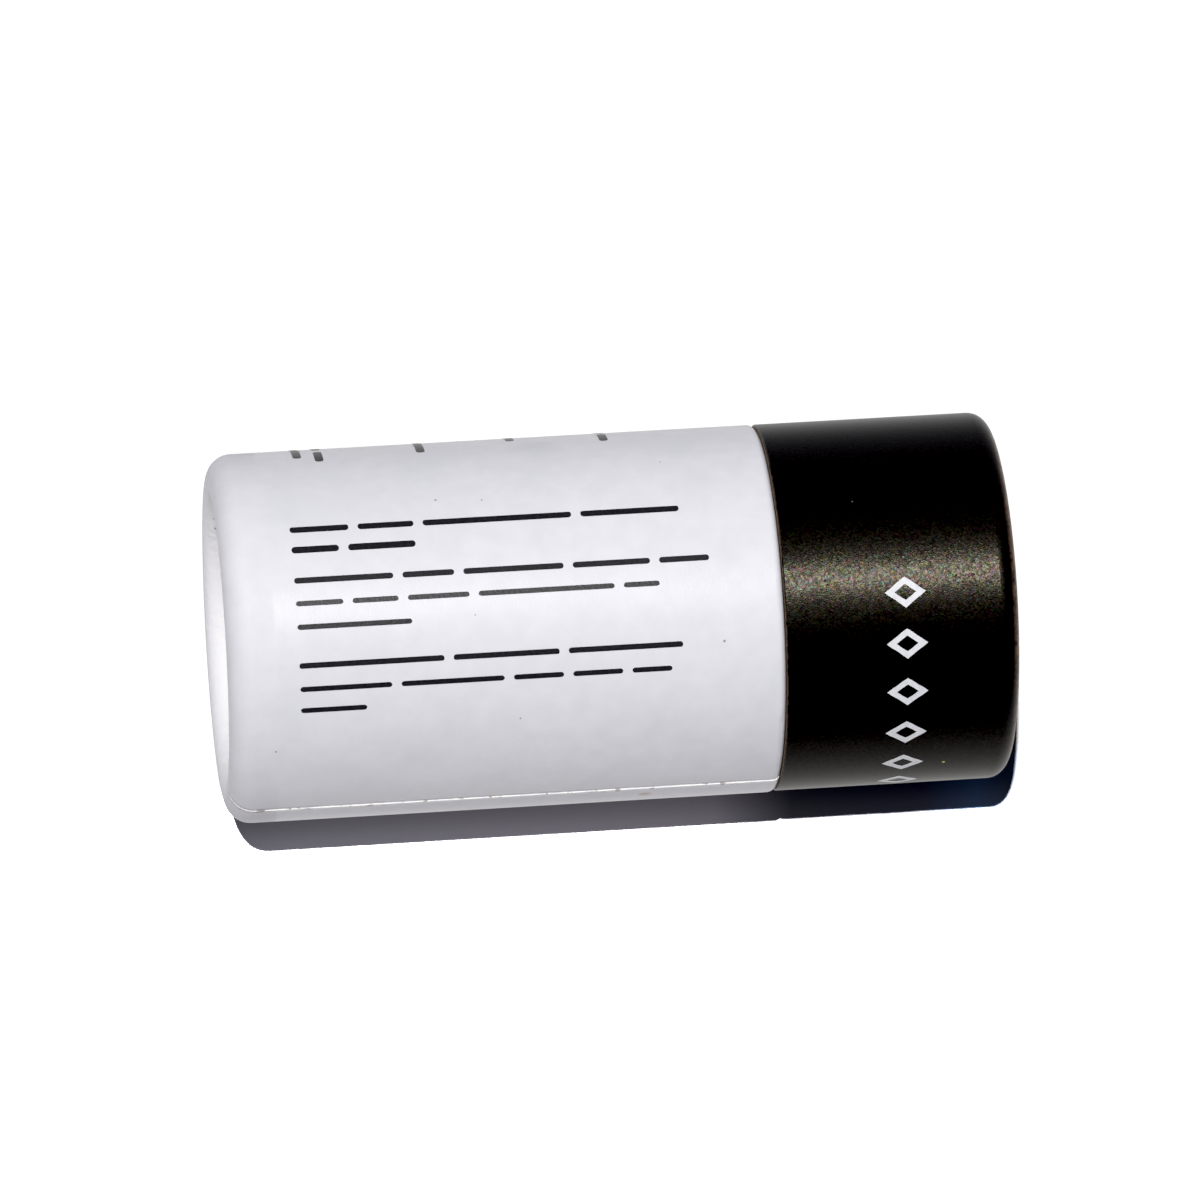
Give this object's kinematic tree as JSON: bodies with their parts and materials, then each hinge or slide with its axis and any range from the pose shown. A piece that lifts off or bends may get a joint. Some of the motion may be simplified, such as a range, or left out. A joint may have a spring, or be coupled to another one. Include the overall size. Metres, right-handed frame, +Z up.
{
  "type": "lip balm tube",
  "caption": "Push-up paperboard tube of lip balm: a printed white body with a rolled open base, a black slip-on cap over an inner neck, a push-up piston and the balm.",
  "frame": {"origin": "centre of the closed tube's outline at the height of the base rim, which it stands on", "axes": "+Z up along the tube from the open base to the cap; -Y is the side with the main print; the body's paper lap faces +X, a little towards -Y"},
  "size_m": [0.0261, 0.0261, 0.0555],
  "materials": {
    "board_kraft": "raw wound board",
    "paper_white": "satin printed paper",
    "liner_board": "raw wound board",
    "piston_board": "raw board",
    "balm_wax": "soft waxy balm",
    "board_brown": "raw wound board",
    "paper_black": "matte laminated paper",
    "card_black": "matte card"
  },
  "bodies": {
    "base": {"body_tube": "board_kraft", "body_label": "paper_white", "inner_tube": "liner_board"},
    "push": {"piston_collar": "piston_board", "piston_disc": "piston_board", "balm": "balm_wax"},
    "cap": {"cap_tube": "board_brown", "cap_label": "paper_black", "cap_disc": "card_black"}
  },
  "joints": [
    {"name": "push_slide", "type": "slide", "parent": "base", "child": "push", "axis": [0, 0, 1], "range_m": [0, 0.04]},
    {"name": "cap_pull", "type": "slide", "parent": "push", "child": "cap", "axis": [0, 0, 1], "range_m": [0, 0.03]}
  ]
}
